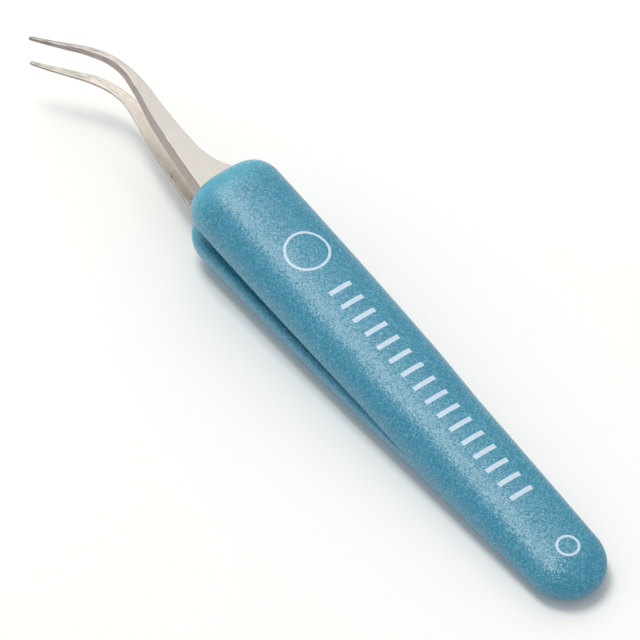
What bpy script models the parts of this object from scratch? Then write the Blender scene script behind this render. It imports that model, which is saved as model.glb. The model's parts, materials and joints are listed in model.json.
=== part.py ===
"""Curved-tip precision tweezers with thick cushioned grips.

The tweezers are drawn lying on their mid-plane: X runs from the tail end to the tips, the tips
curve towards +Y, and the two halves open along Z. Stations are distances from the tail end, and
sizes are in millimetres until a mesh is made. The finished pieces hang on an empty that tips the
whole so that the flat side of the lower grip lies on the ground, with the origin under REST_STATION.
"""
import math

import bmesh
import bpy
from mathutils import Matrix

MM = 0.001

# Lengths along the tweezers
GRIP_LENGTH = 84.0          # tail end to grip mouth
TIP_REACH = 36.0            # grip mouth to tips
SLIT_ROOT = 33.0            # where the slit between the grips ends, and each half bends
BLADE_TAIL = 7.0            # solid moulding behind the blades
BLADE_SHOULDER = 8.0        # the blades begin to narrow this far inside the mouth
REST_STATION = 60.0

# Grip section
GRIP_TAIL_HALF_WIDTH = 5.45
GRIP_HALF_WIDTH = 7.1
GRIP_WIDEST = 72.0
CROWN_AT_TAIL = 2.5         # mid-plane to the flat land, produced to the tail end
CROWN_AT_MOUTH = 8.1
LAND_HALF_WIDTH = 2.1
INNER_EDGE_RADIUS = 1.0
INNER_EDGE_RUN = 10.0       # the inner edge reaches its full radius over this length
TAIL_ROUND = 6.0
MOUTH_ROUND = 4.4           # length over which the mouth is rounded
MOUTH_SIDE_INSET = 3.2      # and how far it draws in, at the sides
MOUTH_CROWN_INSET = 3.0     # at the crown
MOUTH_INNER_INSET = 0.5     # and at the inner face

# Slit between the grips, measured from the mid-plane
SLIT_AT_ROOT = 0.15
SLIT_WHEN_CLOSED = 0.105    # left at the mouth when the tips meet

# Blades
BLADE_HALF_WIDTH = 4.75
BLADE_TAIL_HALF_WIDTH = 2.6
LEAF_GAP_TAIL = 0.6         # mid-plane to a blade's inner face at the tail
LEAF_GAP_MOUTH = 2.4        # the same at the mouth
LEAF_GAP_TIP = 2.6          # and at the tips
THICKNESS_TAIL = 0.9
THICKNESS_ROOT = 1.2
THICKNESS_MOUTH = 1.85
THICKNESS_BEND = 1.35
THICKNESS_TIP = 0.5
BEND_SHARE = 0.67           # the bend of the tips, as a share of the reach

# Plan edges of the bare blade: share of the reach, distance across
HOLLOW_EDGE = ((0.0, 3.5), (0.19, 2.6), (0.38, 1.55), (0.54, 0.4), (0.64, 0.0), (0.71, 0.2),
               (0.79, 1.25), (0.89, 3.55), (0.97, 5.75))
OUTER_EDGE = ((0.95, 4.75), (0.87, 2.4), (0.79, 0.2), (0.7, -1.1), (0.63, -1.5), (0.55, -1.5),
              (0.4, -0.8), (0.23, -0.4), (0.12, -0.8), (0.0, -2.4))
TIP_POINT = (1.0, 6.4)

# Tail joint hidden in the moulding
SPACER_START = 8.2
SPACER_LENGTH = 7.6
SPACER_HALF_WIDTH = 2.3
SPACER_ROUND = 0.25
WELD_DIAMETER = 1.6
WELD_INSET = 2.0            # weld centre from either end of the spacer

CLEARANCE = 0.3             # between pieces that touch
TIP_CLEARANCE = 0.05        # between a tip and the mid-plane when closed

ARC_STEPS = 6               # facets in a quarter of a section
END_STEPS = 5               # rings that round off an end
BOOT_RINGS = 5
EDGE_RINGS = 4
GRIP_RINGS = 5
CURVE_STEPS = 6             # segments between two points of a smooth outline
HOLE_SIDES = 32
NUGGET_SIDES = 24
SPACER_ROUND_STEPS = 3
FIRST_RING_TURN = math.radians(12)      # small flat left at the tail
LAST_RING_TURN = math.radians(82)       # and the one round the mouth
SHARP_ANGLE = math.radians(35)          # edges sharper than this stay crisp
MERGE_DISTANCE = 0.0001
OVERSIZE = 20.0             # reach of a cutting prism past the work

STEEL_COLOUR = (0.62, 0.59, 0.55)
STEEL_ROUGHNESS = 0.38
VINYL_COLOUR = (0.07, 0.27, 0.37)
VINYL_ROUGHNESS = 0.5

LENGTH = GRIP_LENGTH + TIP_REACH
SPACER_END = SPACER_START + SPACER_LENGTH
CROWN_SLOPE = (CROWN_AT_MOUTH - CROWN_AT_TAIL) / GRIP_LENGTH
CLOSING_TURN = math.asin((LEAF_GAP_TIP - TIP_CLEARANCE) / (LENGTH - SLIT_ROOT))
SLIT_LENGTH = GRIP_LENGTH - SLIT_ROOT
SLIT_SLOPE = math.tan(CLOSING_TURN) - (SLIT_AT_ROOT - SLIT_WHEN_CLOSED) / SLIT_LENGTH


# ---------------------------------------------------------------- profiles

def half_width(x):
    """Half width of the grip in plan."""
    swell = math.sin(math.pi / 2 * x / GRIP_WIDEST)
    return GRIP_TAIL_HALF_WIDTH + (GRIP_HALF_WIDTH - GRIP_TAIL_HALF_WIDTH) * swell


def crown(x):
    """Height of the grip's flat land above the mid-plane."""
    return CROWN_AT_TAIL + CROWN_SLOPE * x


def slit(x):
    """Height of the grip's inner face above the mid-plane, rising as the halves open."""
    return SLIT_AT_ROOT + SLIT_SLOPE * (x - SLIT_ROOT)


def between(x, start, end):
    """Share of the way from one station to another."""
    return (x - start) / (end - start)


def spaced(start, end, count):
    """Evenly spaced stations, both ends included."""
    return [start + (end - start) * step / (count - 1) for step in range(count)]


def blade_inner(x):
    """Height of a blade's inner face above the mid-plane."""
    if x > GRIP_LENGTH:
        return LEAF_GAP_MOUTH + (LEAF_GAP_TIP - LEAF_GAP_MOUTH) * between(x, GRIP_LENGTH, LENGTH)
    share = max(between(x, SPACER_END, GRIP_LENGTH), 0.0)
    return LEAF_GAP_TAIL + (LEAF_GAP_MOUTH - LEAF_GAP_TAIL) * share


def blade_outer_points():
    """Stations and heights of a blade's outer face, from the tip to the tail."""
    bend = GRIP_LENGTH + BEND_SHARE * TIP_REACH
    stations = ((LENGTH, THICKNESS_TIP), (bend, THICKNESS_BEND), (GRIP_LENGTH, THICKNESS_MOUTH),
                (SLIT_ROOT, THICKNESS_ROOT), (SPACER_END, THICKNESS_TAIL), (BLADE_TAIL, THICKNESS_TAIL))
    return [(x, blade_inner(x) + thickness) for x, thickness in stations]


# ---------------------------------------------------------------- making meshes

def clear_scene():
    """Remove every object, mesh and collection that is already there."""
    for thing in list(bpy.data.objects):
        bpy.data.objects.remove(thing, do_unlink=True)
    for group in list(bpy.data.collections):
        bpy.data.collections.remove(group)


def new_collection(name):
    """Add a collection to the scene."""
    group = bpy.data.collections.new(name)
    bpy.context.scene.collection.children.link(group)
    return group


def material(name, colour, metallic, roughness):
    """A plain Principled material."""
    made = bpy.data.materials.new(name)
    made.use_nodes = True
    shader = made.node_tree.nodes["Principled BSDF"]
    shader.inputs["Base Color"].default_value = (*colour, 1.0)
    shader.inputs["Metallic"].default_value = metallic
    shader.inputs["Roughness"].default_value = roughness
    return made


def add_object(name, mesh, group):
    """Wrap a mesh in an object of the given collection."""
    made = bpy.data.objects.new(name, mesh)
    group.objects.link(made)
    return made


def frozen(source, name, group):
    """A plain mesh object of what another object evaluates to, which it replaces."""
    bpy.context.view_layer.update()
    evaluated = source.evaluated_get(bpy.context.evaluated_depsgraph_get())
    mesh = bpy.data.meshes.new_from_object(evaluated)
    mesh.transform(source.matrix_world)
    bpy.data.objects.remove(source, do_unlink=True)
    bm = bmesh.new()
    bm.from_mesh(mesh)
    bmesh.ops.remove_doubles(bm, verts=bm.verts, dist=MERGE_DISTANCE * MM)
    bm.to_mesh(mesh)
    bm.free()
    return add_object(name, mesh, group)


def prism(name, outline, group, upright=False, steps=CURVE_STEPS):
    """An outline in plan, or upright in the XZ plane, drawn out on both sides of its own plane.

    The outline holds (x, y, smooth) points: a smooth one is rounded through, the others are corners.
    """
    curve = bpy.data.curves.new(name, "CURVE")
    curve.dimensions = "2D"
    curve.fill_mode = "BOTH"
    curve.extrude = OVERSIZE * MM
    spline = curve.splines.new("BEZIER")
    spline.bezier_points.add(len(outline) - 1)
    spline.use_cyclic_u = True
    spline.resolution_u = steps
    for point, (x, y, smooth) in zip(spline.bezier_points, outline):
        point.co = (x * MM, y * MM, 0.0)
        point.handle_left_type = point.handle_right_type = "AUTO" if smooth else "VECTOR"
    drawn = add_object(name, curve, group)
    if upright:
        drawn.rotation_euler.x = math.pi / 2
    return frozen(drawn, name, group)


def combined(target, tool, operation):
    """Apply an exact Boolean to the target and hide its tool."""
    cut = target.modifiers.new(tool.name, "BOOLEAN")
    cut.operation = operation
    cut.solver = "EXACT"
    cut.object = tool
    tool.hide_render = True
    tool.display_type = "WIRE"
    return frozen(target, target.name, target.users_collection[0])


def section(width, land, top, belly, foot, bottom):
    """Points across a grip: elliptical shoulders over a flat land, rounded edges below.

    The section is widest at the height called belly. Foot is the half width of the flat bottom.
    """
    side = []
    for step in range(ARC_STEPS + 1):
        turn = math.pi / 2 * (1 - step / ARC_STEPS)
        side.append((land + (width - land) * math.cos(turn), belly + (top - belly) * math.sin(turn)))
    for step in range(1, ARC_STEPS + 1):
        turn = math.pi / 2 * step / ARC_STEPS
        side.append((foot + (width - foot) * math.cos(turn), belly - (belly - bottom) * math.sin(turn)))
    return side + [(-y, z) for y, z in reversed(side)]


def loft(name, rings, group):
    """A closed solid through rings of (station, section)."""
    bm = bmesh.new()
    rows = [[bm.verts.new((x * MM, y * MM, z * MM)) for y, z in points] for x, points in rings]
    for row, following in zip(rows, rows[1:]):
        for at in range(len(row)):
            beside = at - 1
            bm.faces.new((row[at], row[beside], following[beside], following[at]))
    bm.faces.new(rows[0])
    bm.faces.new(rows[-1])
    bmesh.ops.recalc_face_normals(bm, faces=bm.faces)
    mesh = bpy.data.meshes.new(name)
    bm.to_mesh(mesh)
    bm.free()
    return add_object(name, mesh, group)


def mirrored(source, name):
    """The same piece on the other side of the mid-plane."""
    mesh = source.data.copy()
    mesh.transform(Matrix.Diagonal((1.0, 1.0, -1.0, 1.0)))
    mesh.flip_normals()
    return add_object(name, mesh, source.users_collection[0])


def finished(piece, finish, parent):
    """Give a piece its material, smooth shading and its place under a parent."""
    piece.data.materials.clear()
    piece.data.materials.append(finish)
    piece.data.shade_smooth()
    piece.data.set_sharp_from_angle(angle=SHARP_ANGLE)
    piece.parent = parent
    piece.location = (-SLIT_ROOT * MM, 0.0, 0.0)


# ---------------------------------------------------------------- blades

def blade_plan(grow):
    """Plan outline of a whole blade, from the tail to the curved tip and back."""
    tail = BLADE_TAIL - grow
    shoulder = GRIP_LENGTH - BLADE_SHOULDER
    hollow = [(GRIP_LENGTH + share * TIP_REACH, y + grow, True) for share, y in HOLLOW_EDGE]
    outer = [(GRIP_LENGTH + share * TIP_REACH, y - grow, True) for share, y in OUTER_EDGE]
    point = (GRIP_LENGTH + TIP_POINT[0] * TIP_REACH, TIP_POINT[1], False)
    return ([(tail, -BLADE_TAIL_HALF_WIDTH - grow, False), (tail, BLADE_TAIL_HALF_WIDTH + grow, False),
             (shoulder, BLADE_HALF_WIDTH + grow, True)] + hollow + [point] + outer
            + [(shoulder, -BLADE_HALF_WIDTH - grow, True)])


def blade_profile(grow):
    """Side outline of the upper blade: a straight inner face and a tapering thickness."""
    stations = (BLADE_TAIL - grow, SPACER_END, GRIP_LENGTH, LENGTH + grow)
    inner = [(x, blade_inner(x) - grow, False) for x in stations]
    outer = [(x, z + grow, False) for x, z in blade_outer_points()]
    first_x, first_z, _ = outer[0]
    last_x, last_z, _ = outer[-1]
    outer[0] = (first_x + grow, first_z, False)
    outer[-1] = (last_x - grow, last_z, False)
    return inner + outer


def blade_solid(name, group, cutters, grow=0.0):
    """A whole upper blade, or with growth the pocket that it sits in."""
    body = prism(name, blade_plan(grow), group)
    side = prism(name + "_side", blade_profile(grow), cutters, upright=True, steps=1)
    return combined(body, side, "INTERSECT")


def cylinder(name, diameter, half_height, station, group, sides):
    """An upright round bar through the mid-plane."""
    bm = bmesh.new()
    bmesh.ops.create_cone(bm, cap_ends=True, segments=sides, radius1=diameter / 2 * MM,
                          radius2=diameter / 2 * MM, depth=2 * half_height * MM,
                          matrix=Matrix.Translation((station * MM, 0.0, 0.0)))
    mesh = bpy.data.meshes.new(name)
    bm.to_mesh(mesh)
    bm.free()
    return add_object(name, mesh, group)


def weld_stations():
    """Front and rear weld centres, by name."""
    return {"front": SPACER_END - WELD_INSET, "rear": SPACER_START + WELD_INSET}


def welded_through(piece, cutters):
    """Open the weld holes in a piece."""
    for place, station in weld_stations().items():
        hole = cylinder(f"weld_hole_{place}", WELD_DIAMETER + 2 * CLEARANCE, OVERSIZE, station,
                        cutters, HOLE_SIDES)
        piece = combined(piece, hole, "DIFFERENCE")
    return piece


# ---------------------------------------------------------------- grips

def tail_rings():
    """Rings that round off the tail of the moulding."""
    rings = []
    for step in range(END_STEPS + 1):
        turn = FIRST_RING_TURN + (math.pi / 2 - FIRST_RING_TURN) * step / END_STEPS
        x = TAIL_ROUND * (1 - math.cos(turn) / math.cos(FIRST_RING_TURN))
        rings.append((x, boot_section(x, math.sin(turn))))
    return rings


def boot_section(x, share=1.0):
    """Section of the one-piece tail moulding."""
    top = crown(x) * share
    land = LAND_HALF_WIDTH * share
    return section(half_width(x) * share, land, top, 0.0, land, -top)


def grip_section(x, drawn_in=0.0):
    """Section of the upper grip, drawn in by a share of the mouth's insets."""
    width = half_width(x) - MOUTH_SIDE_INSET * drawn_in
    top = crown(x) - MOUTH_CROWN_INSET * drawn_in
    bottom = slit(x) + MOUTH_INNER_INSET * drawn_in
    run = min(between(x, SLIT_ROOT, SLIT_ROOT + INNER_EDGE_RUN), 1.0)
    radius = SLIT_AT_ROOT + (INNER_EDGE_RADIUS - SLIT_AT_ROOT) * run
    return section(width, LAND_HALF_WIDTH, top, bottom + radius, width - radius, bottom)


def mouth_rings():
    """Rings that round off the grip's mouth."""
    rings = []
    for step in range(END_STEPS + 1):
        turn = LAST_RING_TURN * step / END_STEPS
        x = GRIP_LENGTH - MOUTH_ROUND * (1 - math.sin(turn) / math.sin(LAST_RING_TURN))
        rings.append((x, grip_section(x, 1 - math.cos(turn))))
    return rings


def tail_boot(group, cutters):
    """Closed tail of the moulding, with the pocket in which the blades' roots move."""
    stations = spaced(TAIL_ROUND, SLIT_ROOT - CLEARANCE / 2, BOOT_RINGS)[1:]
    boot = loft("tail_boot", tail_rings() + [(x, boot_section(x)) for x in stations], group)
    travel = (SLIT_ROOT - BLADE_TAIL) * math.tan(CLOSING_TURN)
    tail_height = blade_outer_points()[-1][1] + travel + CLEARANCE
    root_height = blade_inner(SLIT_ROOT) + THICKNESS_ROOT + CLEARANCE
    back = BLADE_TAIL - CLEARANCE
    front = SLIT_ROOT + CLEARANCE
    profile = [(back, -tail_height, False), (front, -root_height, False),
               (front, root_height, False), (back, tail_height, False)]
    pocket = prism("boot_pocket", blade_plan(CLEARANCE), cutters)
    side = prism("boot_pocket_side", profile, cutters, upright=True, steps=1)
    return combined(boot, combined(pocket, side, "INTERSECT"), "DIFFERENCE")


def upper_grip(group, cutters):
    """Cushion over the upper blade, open at the mouth and at the slit's root."""
    edge_end = SLIT_ROOT + INNER_EDGE_RUN
    stations = (spaced(SLIT_ROOT + CLEARANCE / 2, edge_end, EDGE_RINGS)
                + spaced(edge_end, GRIP_LENGTH - MOUTH_ROUND, GRIP_RINGS)[1:-1])
    rings = [(x, grip_section(x)) for x in stations] + mouth_rings()
    pocket = blade_solid("grip_pocket", cutters, cutters, CLEARANCE)
    return combined(loft("upper_grip", rings, group), pocket, "DIFFERENCE")


# ---------------------------------------------------------------- tail joint

def tail_spacer(group):
    """Flat plate welded between the blades' tails."""
    bm = bmesh.new()
    bmesh.ops.create_cube(bm, size=1.0)
    size = (SPACER_LENGTH * MM, 2 * SPACER_HALF_WIDTH * MM, 2 * (LEAF_GAP_TAIL - CLEARANCE) * MM)
    bmesh.ops.scale(bm, vec=size, verts=bm.verts)
    bmesh.ops.translate(bm, vec=((SPACER_START + SPACER_LENGTH / 2) * MM, 0.0, 0.0), verts=bm.verts)
    upright = [edge for edge in bm.edges if edge.verts[0].co.z * edge.verts[1].co.z < 0]
    bmesh.ops.bevel(bm, geom=upright, offset=SPACER_ROUND * MM, segments=SPACER_ROUND_STEPS,
                    profile=0.5, affect="EDGES")
    mesh = bpy.data.meshes.new("tail_spacer")
    bm.to_mesh(mesh)
    bm.free()
    return add_object("tail_spacer", mesh, group)


def weld_nugget(place, station, group):
    """Slug of weld metal through both tails and the spacer."""
    half_height = LEAF_GAP_TAIL + THICKNESS_TAIL
    return cylinder(f"weld_nugget_{place}", WELD_DIAMETER, half_height, station, group,
                    NUGGET_SIDES)


# ---------------------------------------------------------------- assembly

def empty(name, parent, group):
    """A named frame on the bending axis."""
    made = add_object(name, None, group)
    made.parent = parent
    return made


def resting_frame(group):
    """Frame on the bending axis, tipped so that the lower grip's land lies on the ground."""
    made = empty("resting_frame", None, group)
    tip = Matrix.Rotation(-math.atan(CROWN_SLOPE), 4, "Y")
    from_land = Matrix.Translation(((SLIT_ROOT - REST_STATION) * MM, 0.0, crown(REST_STATION) * MM))
    made.matrix_world = tip @ from_land
    return made


def main():
    clear_scene()
    parts = new_collection("precision_tweezers")
    cutters = new_collection("cutters")
    steel = material("satin stainless steel", STEEL_COLOUR, 1.0, STEEL_ROUGHNESS)
    vinyl = material("soft vinyl grip", VINYL_COLOUR, 0.0, VINYL_ROUGHNESS)

    frame = resting_frame(parts)
    upper_arm = empty("upper_arm_axis", frame, parts)
    lower_arm = empty("lower_arm_axis", frame, parts)

    blade = welded_through(blade_solid("upper_blade", parts, cutters), cutters)
    grip = upper_grip(parts, cutters)
    finished(mirrored(blade, "lower_blade"), steel, lower_arm)
    finished(mirrored(grip, "lower_grip"), vinyl, lower_arm)
    finished(blade, steel, upper_arm)
    finished(grip, vinyl, upper_arm)

    finished(tail_boot(parts, cutters), vinyl, frame)
    finished(welded_through(tail_spacer(parts), cutters), steel, frame)
    for place, station in weld_stations().items():
        finished(weld_nugget(place, station, parts), steel, frame)


if __name__ == "__main__":
    main()
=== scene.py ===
"""Looks of a pair of curved-tip precision tweezers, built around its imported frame.

Lengths in the add-on's settings are metres. Shapes are drawn in the tweezers' own frame: X runs
from the tail end to the tips, Y is the side that the tips curve to, and Z is the way they open.
"""

import json
import math

import bpy
import numpy as np
from bpy.props import FloatProperty, FloatVectorProperty, IntProperty, PointerProperty
from mathutils import Matrix, Vector


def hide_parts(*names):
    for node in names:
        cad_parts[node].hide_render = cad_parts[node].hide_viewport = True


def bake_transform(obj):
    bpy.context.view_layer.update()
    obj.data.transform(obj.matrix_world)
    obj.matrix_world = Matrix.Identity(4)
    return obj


bl_info = {
    "name": "Precision tweezers",
    "version": (1, 0, 0),
    "blender": (4, 5, 0),
    "location": "View3D > Sidebar > Tweezers",
    "description": "Builds the grips, blades, print and stage of a pair of curved-tip tweezers",
    "category": "Object",
}

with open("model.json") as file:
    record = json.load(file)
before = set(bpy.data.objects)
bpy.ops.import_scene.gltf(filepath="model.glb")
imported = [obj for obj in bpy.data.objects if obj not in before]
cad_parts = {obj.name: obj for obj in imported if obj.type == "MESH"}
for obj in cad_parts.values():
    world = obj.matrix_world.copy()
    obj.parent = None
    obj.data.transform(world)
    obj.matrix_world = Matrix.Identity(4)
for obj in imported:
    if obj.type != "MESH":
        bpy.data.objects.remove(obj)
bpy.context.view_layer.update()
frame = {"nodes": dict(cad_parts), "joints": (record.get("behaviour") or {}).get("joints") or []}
MM = 0.001
HINGE = Vector(frame["joints"][0]["pos_m"])     # both halves bend about a line through this point
SIDES = {"upper": 1, "lower": -1}               # which way each half lies from the mid-plane
QUARTER = math.pi / 2


# ---------------------------------------------------------------- settings

def length(name, description, default):
    """A setting that is a length."""
    return FloatProperty(name=name, description=description, default=default, unit="LENGTH",
                         precision=5)


def hex_colour(code):
    """Linear RGB of an sRGB hex colour."""
    parts = [int(code[i:i + 2], 16) / 255 for i in (1, 3, 5)]
    return tuple(c / 12.92 if c <= 0.04045 else ((c + 0.055) / 1.055) ** 2.4 for c in parts)


def colour(name, description, code):
    """A setting that is a colour, with its default as an sRGB hex code."""
    return FloatVectorProperty(name=name, description=description, default=hex_colour(code),
                               subtype="COLOR", size=3, min=0.0, max=1.0)


class GripSettings(bpy.types.PropertyGroup):
    """Sizes and finish of the cushioned moulding."""
    mouth: length("Mouth", "Tail end to the mouth of the grips", 84 * MM)
    slit_root: length("Slit root", "Tail end to where the slit between the grips ends", 33 * MM)
    bend_run: length("Bend run", "Length over which each half bends past the slit root", 15 * MM)
    tail_half_width: length("Tail half width", "Half width, carried back to the tail", 5.45 * MM)
    half_width: length("Half width", "Half width at the widest station", 7.1 * MM)
    widest: length("Widest", "Station of the greatest width", 72 * MM)
    crown_tail: length("Crown at tail", "Mid-plane to the crown, carried to the tail", 2.5 * MM)
    crown_mouth: length("Crown at mouth", "Mid-plane to the crown at the mouth", 8.1 * MM)
    slit_mouth: length("Slit at mouth", "Mid-plane to the inner face at the mouth", 1.6 * MM)
    edge_radius: length("Edge radius", "Round of the inner edges", 0.9 * MM)
    edge_run: length("Edge run", "Length over which the inner edges reach that round", 10 * MM)
    tail_round: length("Tail round", "Length of the rounded tail", 6 * MM)
    mouth_round: length("Mouth round", "Length of the rounding at the mouth", 4.4 * MM)
    mouth_side_inset: length("Mouth side inset", "How far the mouth draws in sideways", 3.6 * MM)
    mouth_crown_inset: length("Mouth crown inset", "How far it draws in at the crown", 4.3 * MM)
    mouth_inner_inset: length("Mouth inner inset", "How far it draws in at the slit", 0.6 * MM)
    fullness: FloatProperty(name="Fullness", description="Squareness of the dome, 2 is an ellipse",
                            default=2.45, min=2.0, max=6.0)
    vinyl: colour("Vinyl", "Body colour of the vinyl", "#2b86a3")
    # Painted glow: a paler colour that stands for light let through the thin vinyl at the mouth
    thin: colour("Thin vinyl", "Colour where the vinyl is thin and lets light through", "#55b3c8")
    flake: colour("Flake", "Colour of a flake near the surface", "#95cbdc")
    deep: colour("Deep flake", "Colour of the vinyl over a deep flake", "#24677f")
    flake_tilt: FloatProperty(name="Flake tilt", description="How far a flake leans, 1 is all ways",
                              default=0.28, min=0.0, max=1.0)
    # Real flakes lie about 0.06 mm apart, too fine to show, so they are drawn coarser
    flake_spacing: length("Flake spacing", "Spacing of the flakes", 0.17 * MM)
    flake_contrast: FloatProperty(name="Flake contrast", description="How far its tone strays",
                                  default=0.46, min=0.0, max=1.0)


class BladeSettings(bpy.types.PropertyGroup):
    """Sizes and finish of the ground steel blades."""
    tail: length("Tail", "Tail end of the moulding to the blades' tails", 7 * MM)
    tip: length("Tip", "Tail end of the moulding to the tips", 120.4 * MM)
    tail_half_width: length("Tail half width", "Half width at the tail", 2.6 * MM)
    half_width: length("Half width", "Half width at the shoulder", 4.75 * MM)
    shoulder: length("Shoulder", "How far inside the mouth the blades begin to narrow", 8 * MM)
    edge_radius: length("Edge radius", "Round left by tumbling on the long edges", 0.1 * MM)
    tip_round: length("Tip round", "Length over which the point is rounded off", 0.35 * MM)
    outer: colour("Outer face", "Reflection colour of the fine-ground outer face", "#b5b3b0")
    inner: colour("Inner face", "Reflection colour of the coarser inner face", "#c9c4bd")
    # Darker partly for the duller sheared finish and partly as painted shade on the blade's sides
    flank: colour("Flank", "Reflection colour of the sheared and tumbled flanks", "#a69c99")
    # A fine belt leaves lines near 0.03 mm wide, too fine to show, so they are drawn coarser
    grain: length("Grain", "Width of the grinding lines", 0.14 * MM)


class PrintSettings(bpy.types.PropertyGroup):
    """Plain printed marks on the crown of the upper grip."""
    ink: colour("Ink", "Colour of the pad-printed ink", "#c6dbec")
    start: length("Start", "Tail end to the first bar", 17.5 * MM)
    pitch: length("Pitch", "Spacing of the bars", 2.7 * MM)
    count: IntProperty(name="Count", description="Number of bars", default=16, min=1)
    bar_length: length("Bar length", "Length of a bar across the grip", 3.6 * MM)
    bar_width: length("Bar width", "Width of a bar", 0.75 * MM)
    large_ring: length("Large ring", "Tail end to the middle of the large ring", 65.5 * MM)
    large_radius: length("Large radius", "Middle radius of the large ring", 3.1 * MM)
    small_ring: length("Small ring", "Tail end to the middle of the small ring", 7.2 * MM)
    small_radius: length("Small radius", "Middle radius of the small ring", 1.5 * MM)
    line: length("Line", "Width of the rings' line", 0.4 * MM)
    off_centre: length("Off centre", "Middle of the marks, across from the crown", -0.7 * MM)
    lift: length("Lift", "Thickness of the ink over the vinyl", 0.02 * MM)


class StageSettings(bpy.types.PropertyGroup):
    """Camera, floor and lights."""
    azimuth: FloatProperty(name="Azimuth", description="Camera direction, 0 looks along +Y",
                           default=math.radians(236.4), subtype="ANGLE")
    elevation: FloatProperty(name="Elevation", description="Camera height over the floor",
                             default=math.radians(50.6), subtype="ANGLE")
    roll: FloatProperty(name="Roll", description="Turn of the camera about its own line of sight",
                        default=math.radians(-4.2), subtype="ANGLE")
    distance: length("Distance", "Camera to the aim point", 1.5)
    view_width: length("View width", "Width of what the camera sees at the aim point", 87.95 * MM)
    aim_right: length("Aim right", "Aim point, to the right of the origin in the view", -0.37 * MM)
    aim_up: length("Aim up", "Aim point, above the point over the origin in the view", -2.59 * MM)
    aim_height: length("Aim height", "Height of the point over the origin", 7 * MM)
    floor: colour("Floor", "Colour of the pale floor", "#f7f7f6")
    strip_radiance: FloatProperty(name="Strip", description="Brightness of the strip softbox",
                                  default=10.5)
    panel_radiance: FloatProperty(name="Panel", description="Brightness of the warm panel",
                                  default=0.8)
    world_strength: FloatProperty(name="Surround", description="Brightness all round",
                                  default=0.6)


# ---------------------------------------------------------------- small helpers

def settings():
    """The add-on's settings in the scene."""
    return bpy.context.scene.tweezers


def mix(start, end, share):
    """Value part of the way from one to another."""
    return start + (end - start) * share


def share_of(x, start, end):
    """How far x is from start to end, from 0 to 1."""
    return min(max((x - start) / (end - start), 0.0), 1.0)


def placement():
    """Turns the tweezers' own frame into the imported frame: tipped to lie on the lower crown."""
    grip = settings().grip
    slope = (grip.crown_mouth - grip.crown_tail) / grip.mouth
    tipped = Matrix.Rotation(-math.atan(slope), 4, "Y")
    return Matrix.Translation(HINGE) @ tipped @ Matrix.Translation((-grip.slit_root, 0, 0))


def add_mesh(name, points, faces):
    """A new object from points in the tweezers' own frame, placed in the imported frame."""
    mesh = bpy.data.meshes.new(name)
    mesh.from_pydata([tuple(p) for p in points], [], faces)
    mesh.transform(placement())
    mesh.update()
    made = bpy.data.objects.new(name, mesh)
    bpy.context.scene.collection.objects.link(made)
    return made


def skin(rings, flipped):
    """Faces of a closed loft through rings of equal count, and its end caps."""
    count = len(rings[0])
    last = (len(rings) - 1) * count
    faces = [tuple(range(count)), tuple(reversed(range(last, last + count)))]
    for row in range(len(rings) - 1):
        for at in range(count):
            beside = (at + 1) % count
            a, b = row * count + at, row * count + beside
            faces.append((a, a + count, b + count, b))
    return [tuple(reversed(face)) for face in faces] if flipped else faces


def loft(name, rings, side):
    """A closed solid through rings of points, on the upper or lower side of the mid-plane."""
    points = [(x, y, z * side) for ring in rings for x, y, z in ring]
    return add_mesh(name, points, skin(rings, side < 0))


def keep_vectors(piece, name, values):
    """Store a vector for each point of a piece, for the patterns of its material."""
    kept = piece.data.attributes.new(name, "FLOAT_VECTOR", "POINT")
    kept.data.foreach_set("vector", np.asarray(values, np.float32).ravel())


def smooth(piece, angle):
    """Shade a piece smooth, apart from edges that turn by more than the angle in degrees."""
    piece.data.shade_smooth()
    piece.data.set_sharp_from_angle(angle=math.radians(angle))


def evaluated(piece):
    """Replace a piece's mesh by what its modifiers make of it."""
    graph = bpy.context.evaluated_depsgraph_get()
    graph.update()
    mesh = bpy.data.meshes.new_from_object(piece.evaluated_get(graph))
    piece.modifiers.clear()
    piece.data = mesh


def cut(piece, cutter):
    """Take a closed cutter away from a piece, and remove the cutter."""
    change = piece.modifiers.new("pocket", "BOOLEAN")
    change.operation = "DIFFERENCE"
    change.solver = "EXACT"
    change.object = cutter
    evaluated(piece)
    bpy.data.objects.remove(cutter, do_unlink=True)


def add_node(tree, kind, sockets=None, **attributes):
    """Add a node with its settings and links.

    The sockets are given by name, or as a tuple in their own order. Each gets a value, an output of
    another node, another node, which stands for the first of its outputs, or a list of nodes.
    """
    node = tree.nodes.new(kind)
    for name, value in attributes.items():
        setattr(node, name, value)
    usable = [socket for socket in node.inputs if socket.enabled]
    named = {socket.name: socket for socket in reversed(usable)}
    if isinstance(sockets, tuple):
        wanted = zip(usable, sockets)
    else:
        wanted = ((named[name], value) for name, value in (sockets or {}).items())
    for socket, given in wanted:
        for value in given if isinstance(given, list) else [given]:
            if isinstance(value, bpy.types.Node):
                value = next(output for output in value.outputs if output.enabled)
            if isinstance(value, bpy.types.NodeSocket):
                tree.links.new(value, socket)
            else:
                socket.default_value = value
    return node


def new_material(name):
    """An empty material and its tree."""
    made = bpy.data.materials.new(name)
    made.use_nodes = True
    made.node_tree.nodes.clear()
    return made, made.node_tree


def finish_material(tree, sockets):
    """End a material in one Principled shader."""
    shader = add_node(tree, "ShaderNodeBsdfPrincipled", sockets)
    add_node(tree, "ShaderNodeOutputMaterial", {"Surface": shader})


def rgba(value):
    """A colour with full alpha."""
    return (*value, 1.0)
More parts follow.
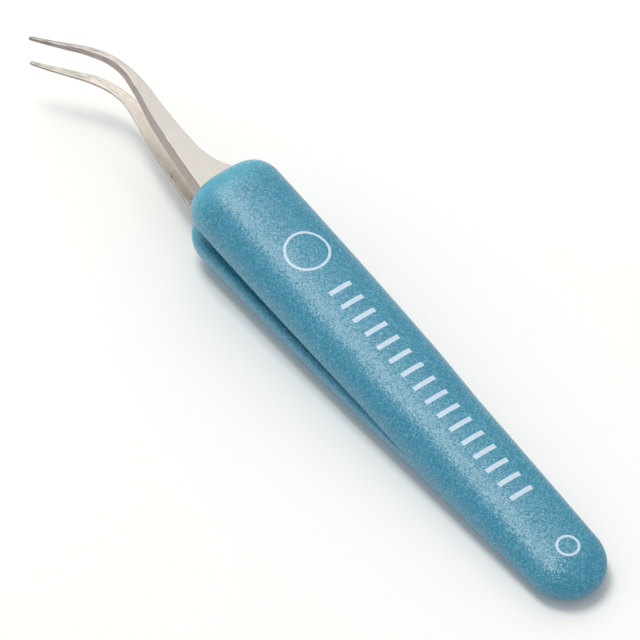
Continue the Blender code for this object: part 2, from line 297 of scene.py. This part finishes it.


# ---------------------------------------------------------------- materials

# A Map Range is given its value, then the two ends of its input range and of its output range
# Over the thin rim below, light let through the vinyl is painted in as a paler glow
THIN_RIM = 7 * MM               # the vinyl thins over this length up to the mouth
PEEL_SIZE = 0.9 * MM            # waves of the moulding's orange peel, and their height
PEEL_HEIGHT = 0.03 * MM
CLOUD_SIZE = 1.1 * MM           # patches of the coarse grind
LINE_HEIGHT = 0.01 * MM         # relief of the grinding lines
PIT_SPACING = 3.2 * MM          # between the few pits in the inner face
PITS_FADE = (29 * MM, 27 * MM)  # the pits end between these distances from the tips
POLISH = (22 * MM, 8 * MM)      # the grain is drawn out by polishing between these
DARK_POINT = 14 * MM            # and the steel darkens over this last stretch
WEAR_SIZE = 0.5 * MM            # patches where the ink took less well


def flake_vinyl():
    """Plasticised PVC with metal flake, dip moulded.

    It looks satin and finely speckled, with a broad soft highlight, and paler near the mouth,
    where a painted glow stands for light let through the thinning wall.
    """
    grip = settings().grip
    made, tree = new_material("soft_vinyl_with_metal_flake")
    place = add_node(tree, "ShaderNodeAttribute", attribute_name="place").outputs["Vector"]
    cells = add_node(tree, "ShaderNodeTexVoronoi", {"Vector": place,
                                                    "Scale": 1 / grip.flake_spacing})
    chance = add_node(tree, "ShaderNodeSeparateColor", {"Color": cells.outputs["Color"]})
    # Few flakes catch the light, more lie deep and dull, the rest only tint the vinyl
    dot = add_node(tree, "ShaderNodeMapRange",
                   (cells.outputs["Distance"], 0.3, 0.8, grip.flake_contrast,
                    0.3 * grip.flake_contrast), interpolation_type="SMOOTHSTEP")
    bright = add_node(tree, "ShaderNodeMapRange", (chance, 0.6, 1.0, 0.0, 1.0))
    dull = add_node(tree, "ShaderNodeMapRange", (chance, 0.0, 0.5, 1.0, 0.0))
    glint = add_node(tree, "ShaderNodeMath", (bright, dot), operation="MULTIPLY")
    shade = add_node(tree, "ShaderNodeMath", (dull, dot), operation="MULTIPLY")
    # The wall thins towards the rim of the mouth and lets light through there, which is
    # painted into the vinyl's colour as a paler glow
    along = add_node(tree, "ShaderNodeSeparateXYZ", {"Vector": place})
    thin = add_node(tree, "ShaderNodeMapRange",
                    (along, grip.mouth - THIN_RIM, grip.mouth, 0.0, 0.8),
                    interpolation_type="SMOOTHSTEP")
    body = add_node(tree, "ShaderNodeMix", (thin, rgba(grip.vinyl), rgba(grip.thin)),
                    data_type="RGBA")
    lit = add_node(tree, "ShaderNodeMix", (glint, body, rgba(grip.flake)), data_type="RGBA")
    speckled = add_node(tree, "ShaderNodeMix", (shade, lit, rgba(grip.deep)), data_type="RGBA")
    # Each flake lies at its own small tilt, over the faint orange peel of the moulding
    centred = add_node(tree, "ShaderNodeVectorMath", (cells.outputs["Color"], (0.5, 0.5, 0.5)),
                       operation="SUBTRACT")
    tilt = add_node(tree, "ShaderNodeVectorMath", {"Vector": centred, "Scale": grip.flake_tilt},
                    operation="SCALE")
    peel = add_node(tree, "ShaderNodeTexNoise", {"Vector": place, "Scale": 1 / PEEL_SIZE})
    bump = add_node(tree, "ShaderNodeBump", {"Height": peel, "Strength": 0.25,
                                             "Distance": PEEL_HEIGHT})
    tipped = add_node(tree, "ShaderNodeVectorMath", (bump, tilt), operation="ADD")
    unit = add_node(tree, "ShaderNodeVectorMath", (tipped,), operation="NORMALIZE")
    finish_material(tree, {"Base Color": speckled, "Normal": unit, "Roughness": 0.34, "IOR": 1.53,
                           "Specular IOR Level": 0.65})
    return made


def satin_steel():
    """Martensitic stainless steel, belt ground lengthwise and tumbled.

    The outer face is finely finished and pale, the inner face keeps a coarser mottled grind, the
    sheared flanks are darker, partly for their duller finish and partly as painted shade on the
    blade's sides, and the points are polished in darker streaks.
    """
    blade = settings().blade
    made, tree = new_material("satin_stainless_steel")
    place = add_node(tree, "ShaderNodeAttribute", attribute_name="place").outputs["Vector"]
    facing = add_node(tree, "ShaderNodeAttribute", attribute_name="facing").outputs["Vector"]
    turned = add_node(tree, "ShaderNodeSeparateXYZ", {"Vector": facing})
    sideways = add_node(tree, "ShaderNodeMath", (turned.outputs["X"],), operation="ABSOLUTE")
    # Flanks, told by the way they face, get a coarser grind and a darker colour, partly painted
    # shade
    flank = add_node(tree, "ShaderNodeMapRange", (sideways, 0.15, 0.8, 0.0, 1.0))
    inward = add_node(tree, "ShaderNodeMapRange", (turned.outputs["Y"], -0.6, -0.1, 1.0, 0.0))
    coarse = add_node(tree, "ShaderNodeMath", (inward, flank), operation="MAXIMUM")
    along = add_node(tree, "ShaderNodeSeparateXYZ", {"Vector": place})
    polished = add_node(tree, "ShaderNodeMapRange", (along, -POLISH[0], -POLISH[1], 0.0, 1.8),
                        interpolation_type="SMOOTHSTEP")
    point = add_node(tree, "ShaderNodeMapRange", (along, -DARK_POINT, 0.0, 0.0, 0.34),
                     interpolation_type="SMOOTHSTEP")

    # Grinding lines run along the blade, and the coarse grind mottles all but the outer face
    drawn = add_node(tree, "ShaderNodeMapping", {"Vector": place, "Scale": (0.05, 1.0, 1.0)})
    lines = add_node(tree, "ShaderNodeTexNoise", {"Vector": drawn, "Scale": 1 / blade.grain,
                                                  "Detail": 3.0})
    clouds = add_node(tree, "ShaderNodeTexNoise", {"Vector": place, "Scale": 1 / CLOUD_SIZE,
                                                   "Detail": 5.0, "Roughness": 0.6})
    cloud_depth = add_node(tree, "ShaderNodeMapRange", (coarse, 0.0, 1.0, 0.06, 0.45))
    line_depth = add_node(tree, "ShaderNodeMapRange", (coarse, 0.0, 1.0, 0.02, 0.3))
    deepened = add_node(tree, "ShaderNodeMath", (line_depth, polished), operation="ADD")
    clouded = add_node(tree, "ShaderNodeMath", (clouds, 0.5), operation="SUBTRACT")
    lined = add_node(tree, "ShaderNodeMath", (lines, 0.5), operation="SUBTRACT")
    mottle = add_node(tree, "ShaderNodeMath", (clouded, cloud_depth, 1.0), operation="MULTIPLY_ADD")
    grind = add_node(tree, "ShaderNodeMath", (lined, deepened, mottle), operation="MULTIPLY_ADD")

    # A few pits are left in the inner face near the mouth
    pits = add_node(tree, "ShaderNodeTexVoronoi", {"Vector": place, "Scale": 1 / PIT_SPACING},
                    voronoi_dimensions="2D")
    pit = add_node(tree, "ShaderNodeMapRange", (pits, 0.04, 0.09, 0.4, 0.0))
    early = add_node(tree, "ShaderNodeMapRange", (along, -PITS_FADE[0], -PITS_FADE[1], 1.0, 0.0))
    kept = add_node(tree, "ShaderNodeMath", (pit, early), operation="MULTIPLY")
    inner_pit = add_node(tree, "ShaderNodeMath", (kept, inward, point), operation="MULTIPLY_ADD")
    level = add_node(tree, "ShaderNodeMath", (grind, inner_pit), operation="SUBTRACT")

    face = add_node(tree, "ShaderNodeMix", (inward, rgba(blade.outer), rgba(blade.inner)),
                    data_type="RGBA")
    # The flank colour is partly a duller finish and partly painted shade of the sides
    metal = add_node(tree, "ShaderNodeMix", (flank, face, rgba(blade.flank)), data_type="RGBA")
    worn = add_node(tree, "ShaderNodeMix", (1.0, metal, level), data_type="RGBA",
                    blend_type="MULTIPLY")
    gloss = add_node(tree, "ShaderNodeMapRange", (lines, 0.3, 0.7, 0.27, 0.33))
    bump = add_node(tree, "ShaderNodeBump", {"Height": lines, "Strength": 0.12,
                                             "Distance": LINE_HEIGHT})
    finish_material(tree, {"Base Color": worn, "Roughness": gloss, "Normal": bump, "Metallic": 1.0})
    return made


def printed_ink():
    """Pad-printed ink: thin, pale, with the blue of the vinyl showing faintly through."""
    made, tree = new_material("pad_printed_ink")
    place = add_node(tree, "ShaderNodeTexCoord").outputs["Object"]
    wear = add_node(tree, "ShaderNodeTexNoise", {"Vector": place, "Scale": 1 / WEAR_SIZE,
                                                 "Detail": 3.0})
    level = add_node(tree, "ShaderNodeMapRange", (wear, 0.3, 0.7, 0.88, 1.0))
    ink = add_node(tree, "ShaderNodeMix", (1.0, rgba(settings().marks.ink), level),
                   data_type="RGBA", blend_type="MULTIPLY")
    finish_material(tree, {"Base Color": ink, "Roughness": 0.45})
    return made


def pale_floor():
    """Matt pale board under the tweezers."""
    made, tree = new_material("matt_pale_board")
    finish_material(tree, {"Base Color": rgba(settings().stage.floor), "Roughness": 0.9})
    return made


# ---------------------------------------------------------------- blades

# Plan edges of the bare blade's inner face: share of the way from mouth to tip, mm across
HOLLOW_EDGE = ((0.0, 3.92), (0.19, 3.03), (0.38, 1.92), (0.54, 0.6), (0.64, 0.1), (0.71, 0.45),
               (0.79, 1.75), (0.89, 4.1), (0.97, 5.9), (1.0, 6.5))
OUTER_EDGE = ((0.0, -2.9), (0.06, -1.75), (0.12, -1.15), (0.23, -1.0), (0.4, -1.4), (0.55, -1.9),
              (0.63, -1.8), (0.7, -1.3), (0.79, 0.05), (0.87, 2.2), (0.95, 4.6), (1.0, 5.95))
# Along the whole blade, in millimetres: station, then mid-plane to the inner face, the thickness,
# and how far the outer face is narrower than the inner on either side, as the flanks are bevelled
INNER_FACE = ((16, 0.6), (84, 2.5), (93, 2.57), (103, 3.05), (108, 3.1), (114, 2.9), (118, 2.73),
              (120.4, 2.58))
THICKNESS = ((7, 0.9), (16, 0.9), (33, 1.2), (84, 2.0), (94, 1.9), (104, 1.1), (112, 0.9),
             (120, 0.5))
BEVEL = ((60, 0.5), (108, 0.5), (116, 0.3), (120, 0.05))
BLADE_STEPS = 600
CORNER_STEPS = 4
MOST_BEVEL = 0.25               # shares of the blade's width that a bevel and a round stay under
MOST_ROUND = 0.12
FLAT_HOLD = 0.4                 # share of a round that its extra point lies beyond it
BLUNT_SHARE = 0.3               # share of the section that is left at the very point
POCKET_GROWTH = 0.02 * MM       # how much larger the pocket in a grip is than its blade, all round


def smooth_line(points, steps):
    """Evenly spaced points on a smooth line through the given ones."""
    given = np.array(points, float)
    lengths = np.r_[0, np.cumsum(np.linalg.norm(np.diff(given, axis=0), axis=1))]
    slopes = np.gradient(given, lengths, axis=0)
    fine = np.linspace(0, lengths[-1], steps * 4)
    spot = np.clip(np.searchsorted(lengths, fine, side="right") - 1, 0, len(given) - 2)
    span = (lengths[spot + 1] - lengths[spot])[:, None]
    t = (fine - lengths[spot])[:, None] / span
    line = ((2 * t**3 - 3 * t**2 + 1) * given[spot] + (t**3 - 2 * t**2 + t) * span * slopes[spot]
            + (3 * t**2 - 2 * t**3) * given[spot + 1] + (t**3 - t**2) * span * slopes[spot + 1])
    along = np.r_[0, np.cumsum(np.linalg.norm(np.diff(line, axis=0), axis=1))]
    even = np.linspace(0, along[-1], steps)
    return np.stack([np.interp(even, along, line[:, 0]), np.interp(even, along, line[:, 1])], 1)


def blade_edge(bare, half_side):
    """One whole plan edge of a blade, from its tail to its tip."""
    blade, mouth = settings().blade, settings().grip.mouth
    # Inside the moulding the blade widens from its tail, slower and slower, up to its shoulder
    hidden = [(blade.tail, half_side * blade.tail_half_width),
              (mouth - blade.shoulder * 3, half_side * blade.half_width * 0.93),
              (mouth - blade.shoulder, half_side * blade.half_width)]
    shown = [(mix(mouth, blade.tip, share), y * MM) for share, y in bare]
    return smooth_line(hidden + shown, BLADE_STEPS)


def along_blade(table, x):
    """Value of one of the blade's tables at a station."""
    stations, values = zip(*table)
    return float(np.interp(x / MM, stations, values)) * MM


def blade_section(width, height, radius, bevel):
    """Points round a blade and the direction that each one faces, centred across.

    The inner face lies at zero. The points start at the hollow flank and go over the outer face,
    down the other flank and back under the inner face. An extra point on each flat beside a corner
    keeps the flat's shading flat.
    """
    bevel = min(bevel, width * MOST_BEVEL)
    radius = min(radius, width * MOST_ROUND)
    lean = math.atan2(bevel, height)
    corners = ((1, height - radius, lean, QUARTER),
               (-1, height - radius, QUARTER, 2 * QUARTER - lean),
               (-1, radius, 2 * QUARTER - lean, 3 * QUARTER),
               (1, radius, 3 * QUARTER, 4 * QUARTER + lean))
    points = []
    for across, centre, first, last in corners:
        reach = width / 2 - (radius + centre * math.sin(lean)) / math.cos(lean)
        for step in range(-1, CORNER_STEPS + 2):
            turn = mix(first, last, share_of(step, 0, CORNER_STEPS))
            beyond = radius * FLAT_HOLD * ((step > CORNER_STEPS) - (step < 0))
            facing = (math.cos(turn), math.sin(turn))
            points.append((across * reach + radius * facing[0] - beyond * facing[1],
                           centre + radius * facing[1] + beyond * facing[0], facing))
    return points


def blade_rings(grow=0.0):
    """Rings across a blade, each point's place from the tip, across and up, and the way it faces.

    With growth, the rings are those of the pocket that the blade sits in.
    """
    blade = settings().blade
    hollow, outer = blade_edge(HOLLOW_EDGE, 1), blade_edge(OUTER_EDGE, -1)
    rings, places, facings = [], [], []
    middle = (hollow + outer) / 2
    steps = [0.0, *np.linalg.norm(np.diff(middle, axis=0), axis=1)]
    left = sum(steps)
    for a, b, centre, step in zip(hollow, outer, middle, steps):
        left -= step
        across = Vector(a - b)
        width = across.length
        across.normalize()
        near_end = 1 - min(max(left, 0.0) / blade.tip_round, 1.0)
        taper = max(math.sqrt(1 - near_end ** 2), BLUNT_SHARE)
        x = float(centre[0])
        low, thick = along_blade(INNER_FACE, x) - grow, along_blade(THICKNESS, x) + 2 * grow
        ring = []
        for sideways, up, facing in blade_section((width + 2 * grow) * taper, thick,
                                                  blade.edge_radius, along_blade(BEVEL, x)):
            height = low + thick / 2 + (up - thick / 2) * taper
            ring.append((x + across.x * sideways, float(centre[1]) + across.y * sideways, height))
            places.append((-left, sideways, height))
            facings.append((*facing, 0.0))
        rings.append(ring)
    return rings, places, facings


# ---------------------------------------------------------------- grips

ARC_STEPS = 26                  # facets in a quarter of the dome
EDGE_STEPS = 8                  # facets round an inner edge
BODY_STEPS = 110                # rings along the straight part
END_STEPS = 22                  # rings that round off an end
TAIL_FLAT = math.radians(4)     # turn at which the tail's rounding starts, from a small flat
MOUTH_TURN = math.radians(86)   # and at which the mouth's rounding stops
SEAM = 0.004 * MM               # mid-plane to each half behind the slit, where they are as one


def dome(width, top, belly, fullness):
    """Right-hand half of the outer skin, from the crown down to the widest height."""
    points = []
    for step in range(ARC_STEPS + 1):
        turn = QUARTER * (1 - step / ARC_STEPS)
        points.append((width * math.cos(turn) ** (2 / fullness),
                       belly + (top - belly) * math.sin(turn) ** (2 / fullness)))
    return points


def grip_ring(x, share=1.0, drawn_in=0.0):
    """Section of a grip half: a full dome, rounded inner edges and a flat inner face.

    Share scales it down at the tail, and drawn_in is the share of the mouth's insets that it takes.
    """
    grip = settings().grip
    swell = math.sin(QUARTER * x / grip.widest)
    width = mix(grip.tail_half_width, grip.half_width, swell) * share
    width -= grip.mouth_side_inset * drawn_in
    top = mix(grip.crown_tail, grip.crown_mouth, x / grip.mouth) * share
    top -= grip.mouth_crown_inset * drawn_in
    bottom = SEAM + grip.slit_mouth * max((x - grip.slit_root) / (grip.mouth - grip.slit_root), 0.0)
    bottom += grip.mouth_inner_inset * drawn_in
    rounded = share_of(x, grip.slit_root, grip.slit_root + grip.edge_run)
    radius = mix(SEAM, grip.edge_radius, rounded)
    side = dome(width, top, bottom + radius, grip.fullness)
    for step in range(1, EDGE_STEPS + 1):
        turn = QUARTER * step / EDGE_STEPS
        side.append((width - radius + radius * math.cos(turn),
                     bottom + radius * (1 - math.sin(turn))))
    other = [(-y, z) for y, z in reversed(side[1:])]
    return [(x, y, z) for y, z in side + other]


def grip_rings():
    """Rings of a grip half, from the rounded tail to the rounded mouth."""
    grip = settings().grip
    rings = []
    for step in range(END_STEPS):
        turn = mix(TAIL_FLAT, QUARTER, step / END_STEPS)
        rings.append(grip_ring(grip.tail_round * (1 - math.cos(turn) / math.cos(TAIL_FLAT)),
                               math.sin(turn)))
    for x in np.linspace(grip.tail_round, grip.mouth - grip.mouth_round, BODY_STEPS)[:-1]:
        rings.append(grip_ring(float(x)))
    for step in range(END_STEPS + 1):
        turn = MOUTH_TURN * step / END_STEPS
        x = grip.mouth - grip.mouth_round * (1 - math.sin(turn) / math.sin(MOUTH_TURN))
        rings.append(grip_ring(x, drawn_in=1 - math.cos(turn)))
    return rings


def blend_with_arm(piece):
    """Bake a piece's placement into its mesh; the piece is not bent."""
    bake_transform(piece)


# ---------------------------------------------------------------- printed marks

RING_STEPS = 72                 # facets round a ring
BAR_STEPS = 12                  # facets along a bar, so that it bends over the crown
RAY_LENGTH = 50 * MM            # how far below the flat marks the crown is looked for
MERGE_DISTANCE = 0.001 * MM
MARK_INPUTS = {
    "Geometry": "NodeSocketGeometry", "Start": "NodeSocketFloat", "Pitch": "NodeSocketFloat",
    "Count": "NodeSocketInt", "Bar length": "NodeSocketFloat", "Bar width": "NodeSocketFloat",
    "Large ring": "NodeSocketFloat", "Large radius": "NodeSocketFloat",
    "Small ring": "NodeSocketFloat", "Small radius": "NodeSocketFloat", "Line": "NodeSocketFloat",
    "Off centre": "NodeSocketFloat", "Lift": "NodeSocketFloat", "Grip": "NodeSocketObject",
    "Turn": "NodeSocketVector", "Shift": "NodeSocketVector", "Ink": "NodeSocketMaterial",
}


def flat_ring(tree, given, station, radius):
    """A flat ring in plan: a strip bent round its centre."""
    strip = add_node(tree, "GeometryNodeMeshGrid", {"Size X": 2 * math.pi, "Size Y": given["Line"],
                                                    "Vertices X": RING_STEPS + 1, "Vertices Y": 3})
    position = add_node(tree, "GeometryNodeInputPosition")
    here = add_node(tree, "ShaderNodeSeparateXYZ", {"Vector": position})
    turn, outwards = here.outputs["X"], here.outputs["Y"]
    reach = add_node(tree, "ShaderNodeMath", (given[radius], outwards), operation="ADD")
    sine = add_node(tree, "ShaderNodeMath", (turn,), operation="SINE")
    cosine = add_node(tree, "ShaderNodeMath", (turn,), operation="COSINE")
    x = add_node(tree, "ShaderNodeMath", (reach, sine, given[station]), operation="MULTIPLY_ADD")
    y = add_node(tree, "ShaderNodeMath", (reach, cosine, given["Off centre"]),
                 operation="MULTIPLY_ADD")
    spot = add_node(tree, "ShaderNodeCombineXYZ", {"X": x, "Y": y})
    bent = add_node(tree, "GeometryNodeSetPosition", {"Geometry": strip, "Position": spot})
    return add_node(tree, "GeometryNodeMergeByDistance", {"Geometry": bent,
                                                          "Distance": MERGE_DISTANCE})


def row_of_bars(tree, given):
    """Evenly spaced bars across the grip, drawn flat in plan."""
    first = add_node(tree, "ShaderNodeCombineXYZ", {"X": given["Start"], "Y": given["Off centre"]})
    spacing = add_node(tree, "ShaderNodeCombineXYZ", {"X": given["Pitch"]})
    line = add_node(tree, "GeometryNodeMeshLine", {"Count": given["Count"], "Start Location": first,
                                                   "Offset": spacing})
    bar = add_node(tree, "GeometryNodeMeshGrid", {"Size X": given["Bar width"],
                                                  "Size Y": given["Bar length"],
                                                  "Vertices X": 3, "Vertices Y": BAR_STEPS + 1})
    copies = add_node(tree, "GeometryNodeInstanceOnPoints", {"Points": line, "Instance": bar})
    return add_node(tree, "GeometryNodeRealizeInstances", {"Geometry": copies})


def marks_tree():
    """Geometry nodes that lay the printed marks on the crown as a thin closed film."""
    tree = bpy.data.node_groups.new("printed_marks", "GeometryNodeTree")
    for name, kind in MARK_INPUTS.items():
        tree.interface.new_socket(name, in_out="INPUT", socket_type=kind)
    tree.interface.new_socket("Geometry", in_out="OUTPUT", socket_type="NodeSocketGeometry")
    given = add_node(tree, "NodeGroupInput").outputs

    bars = row_of_bars(tree, given)
    large = flat_ring(tree, given, "Large ring", "Large radius")
    small = flat_ring(tree, given, "Small ring", "Small radius")
    flat = add_node(tree, "GeometryNodeJoinGeometry", {"Geometry": [bars, large, small]})
    over = add_node(tree, "GeometryNodeTransform", {"Geometry": flat, "Translation": given["Shift"],
                                                    "Rotation": given["Turn"]})
    grip = add_node(tree, "GeometryNodeObjectInfo", {"Object": given["Grip"]})
    ray = add_node(tree, "GeometryNodeRaycast", {"Target Geometry": grip.outputs["Geometry"],
                                                 "Ray Direction": (0.0, 0.0, -1.0),
                                                 "Ray Length": RAY_LENGTH})
    laid = add_node(tree, "GeometryNodeSetPosition", {"Geometry": over,
                                                      "Position": ray.outputs["Hit Position"]})
    film = add_node(tree, "GeometryNodeExtrudeMesh", {"Mesh": laid, "Offset Scale": given["Lift"],
                                                      "Individual": False})
    under = add_node(tree, "GeometryNodeFlipFaces", {"Mesh": laid})
    shell = add_node(tree, "GeometryNodeJoinGeometry", {"Geometry": [under, film]})
    sealed = add_node(tree, "GeometryNodeMergeByDistance", {"Geometry": shell,
                                                            "Distance": MERGE_DISTANCE})
    real = add_node(tree, "GeometryNodeRealizeInstances", {"Geometry": sealed})
    inked = add_node(tree, "GeometryNodeSetMaterial", {"Geometry": real, "Material": given["Ink"]})
    add_node(tree, "NodeGroupOutput", {"Geometry": inked})
    return tree


def add_marks(grip_piece):
    """The printed marks as a plain mesh."""
    marks = settings().marks
    # The marks start flat, well above the crown, and are laid down on it from there
    over = placement() @ Matrix.Translation((0, 0, settings().grip.crown_mouth * 2))
    values = {"Start": marks.start, "Pitch": marks.pitch, "Bar length": marks.bar_length,
              "Bar width": marks.bar_width, "Large ring": marks.large_ring,
              "Large radius": marks.large_radius, "Small ring": marks.small_ring,
              "Small radius": marks.small_radius, "Line": marks.line,
              "Off centre": marks.off_centre, "Lift": marks.lift, "Count": marks.count,
              "Grip": grip_piece, "Ink": printed_ink(), "Turn": tuple(over.to_euler()),
              "Shift": tuple(over.translation)}
    piece = bpy.data.objects.new("printed_marks", bpy.data.meshes.new("printed_marks"))
    bpy.context.scene.collection.objects.link(piece)
    change = piece.modifiers.new("marks", "NODES")
    change.node_group = marks_tree()
    for socket in change.node_group.interface.items_tree:
        if socket.in_out == "INPUT" and socket.name in values:
            change[socket.identifier] = values[socket.name]
    evaluated(piece)
    if not piece.data.polygons:
        raise RuntimeError("the printed marks missed the grip")
    return piece


# ---------------------------------------------------------------- stage

FLOOR_SIZE = 4.0


def view_axes(stage):
    """Right, up and back directions of the camera."""
    a, e, roll = stage.azimuth, stage.elevation, stage.roll
    back = Vector((math.sin(a) * math.cos(e), -math.cos(a) * math.cos(e), math.sin(e)))
    level = Vector((math.cos(a), math.sin(a), 0.0))
    rise = back.cross(level)
    right = level * math.cos(roll) + rise * math.sin(roll)
    return right, back.cross(right), back


def add_light(name, towards, distance, long_side, size, radiance, tint):
    """A rectangular softbox in a direction from the origin, of a given brightness."""
    data = bpy.data.lights.new(name, "AREA")
    data.shape = "RECTANGLE"
    data.size, data.size_y = size
    data.energy = radiance * math.pi * size[0] * size[1]
    data.color = hex_colour(tint)
    lamp = bpy.data.objects.new(name, data)
    bpy.context.scene.collection.objects.link(lamp)
    back = Vector(towards).normalized()
    cross = back.cross(Vector(long_side)).normalized()
    turn = Matrix((cross.cross(back), cross, back)).transposed().to_4x4()
    lamp.matrix_world = Matrix.Translation(back * distance) @ turn


# ---------------------------------------------------------------- operators

class TWEEZERS_OT_stage(bpy.types.Operator):
    """Make the camera, floor and soft studio light"""
    bl_idname = "tweezers.stage"
    bl_label = "Stage"

    def execute(self, context):
        stage = settings().stage
        right, up, back = view_axes(stage)
        aim = Vector((0, 0, stage.aim_height)) + right * stage.aim_right + up * stage.aim_up
        data = bpy.data.cameras.new("camera")
        data.sensor_width = 36.0
        data.lens = data.sensor_width * stage.distance / stage.view_width
        data.clip_end = 10.0
        camera = bpy.data.objects.new("camera", data)
        context.scene.collection.objects.link(camera)
        turn = Matrix((right, up, back)).transposed().to_4x4()
        camera.matrix_world = Matrix.Translation(aim + back * stage.distance) @ turn
        context.scene.camera = camera

        bpy.ops.mesh.primitive_plane_add(size=FLOOR_SIZE)
        floor = context.object
        floor.name = "floor"
        floor.data.materials.append(pale_floor())

        add_light("strip_softbox", towards=(0.24, 0.02, 0.97), distance=0.8, long_side=(1, 0, 0),
                  size=(0.4, 0.22), radiance=stage.strip_radiance, tint="#fffdf8")
        add_light("warm_panel", towards=(0.53, -0.35, 0.77), distance=1.0, long_side=(1, 0.3, 0),
                  size=(0.8, 0.7), radiance=stage.panel_radiance, tint="#fff6ea")
        world = bpy.data.worlds.new("studio")
        context.scene.world = world
        world.use_nodes = True
        sky = world.node_tree.nodes["Background"]
        sky.inputs["Color"].default_value = rgba(hex_colour("#fbfdff"))
        sky.inputs["Strength"].default_value = stage.world_strength
        context.scene.view_settings.view_transform = "Standard"
        return {"FINISHED"}


class TWEEZERS_OT_blades(bpy.types.Operator):
    """Make both ground steel blades"""
    bl_idname = "tweezers.blades"
    bl_label = "Steel blades"

    def execute(self, context):
        steel = satin_steel()
        rings, places, facings = blade_rings()
        for name, side in SIDES.items():
            piece = loft(f"ground_{name}_blade", rings, side)
            keep_vectors(piece, "place", places)
            keep_vectors(piece, "facing", facings)
            smooth(piece, 50)
            piece.data.materials.append(steel)
            blend_with_arm(piece)
            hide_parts(f"{name}_blade")
        for node in ("tail_spacer", "weld_nugget_front", "weld_nugget_rear"):
            slots = frame["nodes"][node].data.materials
            slots.clear()
            slots.append(steel)
        return {"FINISHED"}


class TWEEZERS_OT_grips(bpy.types.Operator):
    """Make both halves of the cushioned moulding"""
    bl_idname = "tweezers.grips"
    bl_label = "Cushioned grips"

    def execute(self, context):
        vinyl = flake_vinyl()
        back = placement().inverted()
        for name, side in SIDES.items():
            piece = loft(f"moulded_{name}_grip", grip_rings(), side)
            pocket = loft(f"{name}_pocket", blade_rings(POCKET_GROWTH)[0], side)
            cut(piece, pocket)
            keep_vectors(piece, "place", [tuple(back @ v.co) for v in piece.data.vertices])
            smooth(piece, 35)
            piece.data.materials.clear()
            piece.data.materials.append(vinyl)
            blend_with_arm(piece)
            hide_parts(f"{name}_grip", "tail_boot")
        return {"FINISHED"}


class TWEEZERS_OT_marks(bpy.types.Operator):
    """Lay plain printed marks on the crown of the upper grip"""
    bl_idname = "tweezers.marks"
    bl_label = "Printed marks"

    def execute(self, context):
        piece = add_marks(bpy.data.objects["moulded_upper_grip"])
        blend_with_arm(piece)
        return {"FINISHED"}


class TWEEZERS_PT_panel(bpy.types.Panel):
    """Buttons that build the tweezers, and their settings"""
    bl_label = "Precision tweezers"
    bl_idname = "TWEEZERS_PT_panel"
    bl_space_type = "VIEW_3D"
    bl_region_type = "UI"
    bl_category = "Tweezers"

    def draw(self, context):
        for operator in OPERATORS:
            self.layout.operator(operator.bl_idname)
        for name in TweezersSettings.__annotations__:
            group = getattr(context.scene.tweezers, name)
            box = self.layout.box()
            box.label(text=name.capitalize())
            for setting in type(group).__annotations__:
                box.prop(group, setting)


class TweezersSettings(bpy.types.PropertyGroup):
    """All settings of the add-on."""
    stage: PointerProperty(type=StageSettings)
    grip: PointerProperty(type=GripSettings)
    blade: PointerProperty(type=BladeSettings)
    marks: PointerProperty(type=PrintSettings)


OPERATORS = (TWEEZERS_OT_stage, TWEEZERS_OT_blades, TWEEZERS_OT_grips, TWEEZERS_OT_marks)
CLASSES = (StageSettings, GripSettings, BladeSettings, PrintSettings, TweezersSettings,
           *OPERATORS, TWEEZERS_PT_panel)


def register():
    for each in CLASSES:
        bpy.utils.register_class(each)
    bpy.types.Scene.tweezers = PointerProperty(type=TweezersSettings)


def unregister():
    del bpy.types.Scene.tweezers
    for each in reversed(CLASSES):
        bpy.utils.unregister_class(each)


def main():
    register()
    bpy.ops.tweezers.stage()
    bpy.ops.tweezers.blades()
    bpy.ops.tweezers.grips()
    bpy.ops.tweezers.marks()


if __name__ == "__main__":
    main()
